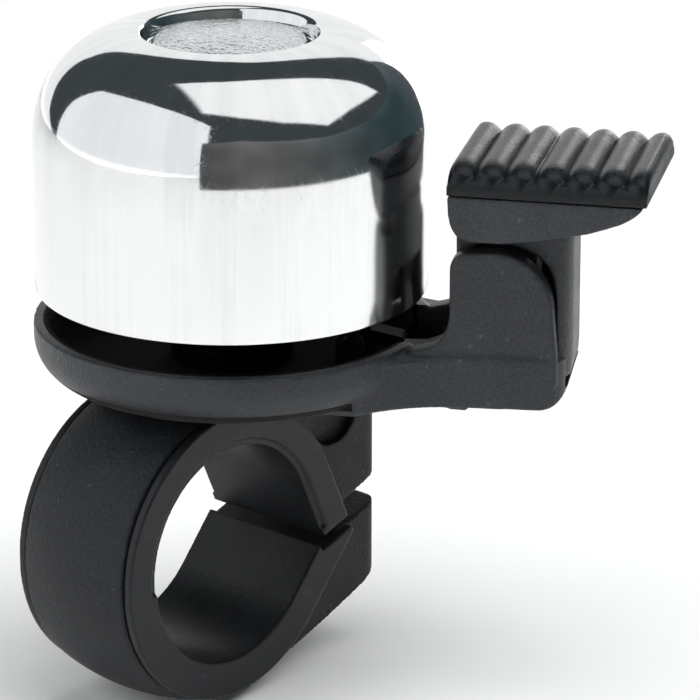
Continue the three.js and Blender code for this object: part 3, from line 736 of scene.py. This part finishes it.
def glow_look(name, see_through=False):
    """A look that only gives off light. Returns it with its node tree and its emission node."""
    look = bpy.data.materials.new(name)
    look.use_nodes = True
    tree = look.node_tree
    tree.nodes.clear()
    out = tree.nodes.new("ShaderNodeOutputMaterial")
    glow = tree.nodes.new("ShaderNodeEmission")
    result = glow.outputs[0]
    if see_through:
        both = tree.nodes.new("ShaderNodeAddShader")
        clear = tree.nodes.new("ShaderNodeBsdfTransparent")
        tree.links.new(glow.outputs[0], both.inputs[0])
        tree.links.new(clear.outputs[0], both.inputs[1])
        result = both.outputs[0]
    tree.links.new(result, out.inputs["Surface"])
    return look, tree, glow


FLOOR_Z_M, TABLE_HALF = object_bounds()[0][2], 1.5


def pale_floor():
    n = Nodes("pale_floor")
    n.link(n.ramp(n.noise(n.place, 9.0, 2.0), (0.3, (0.84, 0.84, 0.84)), (0.7, (0.86, 0.86, 0.86))),
           n.shader.inputs["Base Color"])
    n.set(Roughness=0.9, Specular_IOR_Level=0.0)
    t = TABLE_HALF
    corners = [(x, y, FLOOR_Z_M) for x, y in ((-t, -t), (t, -t), (t, t), (-t, t))]
    staged(as_object("floor", corners, [(0, 1, 2, 3)]), n.look)


pale_floor()

# the camera: its angles, its distance from the bell's rim in metres, its lens in millimetres, and how far to
# the right of the rim's centre and below it the camera aims, in metres
AZ, EL, ROLL, DIST = math.radians(43.3), math.radians(18.38), math.radians(-0.40), 0.450
LENS, AIM_RIGHT, AIM_DOWN = 231.4286, 0.011815, 0.00681
back = Vector((math.sin(AZ) * math.cos(EL), -math.cos(AZ) * math.cos(EL), math.sin(EL)))
right = Vector((math.cos(AZ), math.sin(AZ), 0))
up = back.cross(right)
eye = AXIS + back * DIST
cr, sr = math.cos(ROLL), math.sin(ROLL)
level_right, level_down = AIM_RIGHT * cr + AIM_DOWN * sr, AIM_DOWN * cr - AIM_RIGHT * sr
aim = (-back * DIST + right * level_right - up * level_down).normalized()
swing = (-back).rotation_difference(aim)
level_side, level_top = swing @ right, swing @ up
side = level_side * cr + level_top * sr
top = level_top * cr - level_side * sr
camera = bpy.data.objects.new("camera", bpy.data.cameras.new("camera"))
bpy.context.scene.collection.objects.link(camera)
camera.matrix_world = Matrix(tuple((side[i], top[i], -aim[i], eye[i]) for i in range(3)) + ((0, 0, 0, 1),))
camera.data.sensor_width = 36
camera.data.lens = LENS
camera.data.clip_start = 0.01
camera.data.clip_end = 20
bpy.context.scene.camera = camera


def around(az, el, dist):
    """A place round the bell, az degrees to the right of the camera's side of it."""
    a = AZ + math.radians(az)
    e = math.radians(el)
    return AXIS + dist * Vector((math.sin(a) * math.cos(e), -math.cos(a) * math.cos(e), math.sin(e)))


def card(name, corners, colour, strength, facing, soft=0.2):
    """A flat studio card. Its corners are (azimuth, elevation) seen from the bell, cast onto a plane
    that faces it from (azimuth, elevation, distance). It shows in the polished metal and lights the bell,
    fades out at its edges and stays out of the picture."""
    n = (around(facing[0], facing[1], 1.0) - AXIS).normalized()
    edge = []
    for az, el in corners:
        d = (around(az, el, 1.0) - AXIS).normalized()
        edge.append(AXIS + d * (facing[2] / max(0.05, d.dot(n))))
    middle = sum(edge, Vector()) / len(edge)
    count = len(edge)
    steps = 4
    verts, glow = [], []
    for k in range(steps + 1):
        t = k / steps
        verts += [middle + (p - middle) * (1 - soft + soft * t) for p in edge]
        glow += [0.5 + 0.5 * math.cos(math.pi * t)] * count
    faces = [tuple(range(count))]
    for k in range(steps):
        for i in range(count):
            j = (i + 1) % count
            faces.append((k * count + i, k * count + j, (k + 1) * count + j, (k + 1) * count + i))
    obj = as_object(name, verts, faces)
    layer = obj.data.attributes.new("glow", "FLOAT", "POINT")
    layer.data.foreach_set("value", glow)
    look, tree, light = glow_look(name, see_through=True)
    fade = tree.nodes.new("ShaderNodeAttribute")
    fade.attribute_name = "glow"
    gain = tree.nodes.new("ShaderNodeMath")
    gain.operation = "MULTIPLY"
    gain.inputs[1].default_value = strength
    tree.links.new(fade.outputs["Fac"], gain.inputs[0])
    tree.links.new(gain.outputs[0], light.inputs["Strength"])
    light.inputs["Color"].default_value = (*colour, 1)
    return staged(obj, look, "camera", "shadow")


WHITE, COOL, DARK = (1.0, 1.0, 1.0), (0.97, 0.985, 1.0), (0.05, 0.06, 0.064)
# the top, left and back outlines follow the bright patches on the photographed dome: a separate program
# turned points picked by eye along the patches' edges into the directions that those points reflect
TOP_CARD = [(-127, 68), (-28, 59), (8, 55), (37, 45), (65, 31), (90, 34), (119, 27), (127, 50), (145, 66),
            (-169, 75)]
card("overhead", TOP_CARD, WHITE, 1.02, (60, 68, 0.6), 0.1)
LEFT_CARD = [(-119, -20), (-16, -20), (-13, 22), (-14, 47), (-35, 55), (-74, 56), (-115, 39), (-119, 20)]
card("left_card", LEFT_CARD, COOL, 0.95, (-66, 8, 0.5), 0.06)
BACK_CARD = [(139, -20), (139, 22), (160, 39), (176, 41), (-177, 36), (-153, 27), (-141, 10), (-133, 2),
             (-121, -4), (-122, -20)]
card("back_card", BACK_CARD, WHITE, 0.95, (188, 5, 0.55), 0.08)
card("end_card", [(139, -20), (137, 18), (164, 22), (166, -20)], WHITE, 2.4, (152, 2, 0.5), 0.14)
# these two only light what is matt, and don't show in the metal
for fill in (card("overhead_fill", TOP_CARD, WHITE, 2.65, (60, 68, 0.62), 0.2),
             card("left_fill", LEFT_CARD, WHITE, 0.5, (-66, 8, 0.52), 0.2)):
    fill.visible_glossy = False


def dark_room():
    """The unlit room in front of the bell, beyond the edge of the table, as the polished metal shows it."""
    # azimuth, height as an elevation, and colour, set to match the dark zone on the photographed dome
    marks = [(-17, 30, (0.062, 0.066, 0.068)), (5, 33, (0.105, 0.104, 0.102)),
             (30, 30, (0.092, 0.096, 0.094)), (60, 25, (0.066, 0.078, 0.08)), (95, 23, (0.026, 0.044, 0.05)),
             (125, 25, (0.03, 0.05, 0.058)), (146, 32, (0.075, 0.085, 0.09))]
    columns, levels, radius = 60, 10, 0.235
    verts, tints = [], []
    for i in range(columns + 1):
        az = marks[0][0] + (marks[-1][0] - marks[0][0]) * i / columns
        k = max(j for j in range(len(marks) - 1) if marks[j][0] <= az)
        t = (az - marks[k][0]) / (marks[k + 1][0] - marks[k][0])
        el = marks[k][1] * (1 - t) + marks[k + 1][1] * t
        colour = [a * (1 - t) + b * t for a, b in zip(marks[k][2], marks[k + 1][2])]
        a = AZ + math.radians(az)
        spot = Vector((AXIS.x + radius * math.sin(a), AXIS.y - radius * math.cos(a), 0))
        high = AXIS.z + radius * math.tan(math.radians(el))
        for level in range(levels + 1):
            f = level / levels
            verts.append((spot.x, spot.y, FLOOR_Z_M + 0.0002 + (high - FLOOR_Z_M) * f))
            lift = 1 + 0.25 * noise.noise(Vector((az / 14, f * 3, 2.0))) + 0.5 * f ** 6
            tints.append([1.15 * c * lift for c in colour] + [1.0])
    step = levels + 1
    faces = [(i * step + k, i * step + k + 1, (i + 1) * step + k + 1, (i + 1) * step + k)
             for i in range(columns) for k in range(levels)]
    obj = as_object("dark_room", verts, faces)
    layer = obj.data.attributes.new("tint", "FLOAT_COLOR", "POINT")
    layer.data.foreach_set("color", [c for tint in tints for c in tint])
    look, tree, glow = glow_look("dark_room")
    tint = tree.nodes.new("ShaderNodeAttribute")
    tint.attribute_name = "tint"
    tree.links.new(tint.outputs["Color"], glow.inputs["Color"])
    staged(obj, look, "camera", "shadow", "diffuse", "transmission")


def backdrop():
    """A plain pale wall round the table. Only the camera sees it, so it leaves the reflections alone."""
    steps, radius, low, high = 96, 0.95, FLOOR_Z_M - 0.01, 1.6
    ring = circle(radius, steps=steps)
    verts = [(x, y, low) for x, y in ring] + [(x, y, high) for x, y in ring]
    faces = [(i, (i + 1) % steps, steps + (i + 1) % steps, steps + i) for i in range(steps)]
    look, tree, glow = glow_look("backdrop")
    glow.inputs["Color"].default_value = (0.9, 0.9, 0.9, 1)
    staged(as_object("backdrop", verts, faces), look, "glossy", "shadow", "diffuse", "transmission")


dark_room()
backdrop()

world = bpy.data.worlds.new("room")
bpy.context.scene.world = world
world.use_nodes = True
world.node_tree.nodes["Background"].inputs["Color"].default_value = (*DARK, 1)
world.node_tree.nodes["Background"].inputs["Strength"].default_value = 1.0
bpy.context.scene.view_settings.view_transform = "Standard"
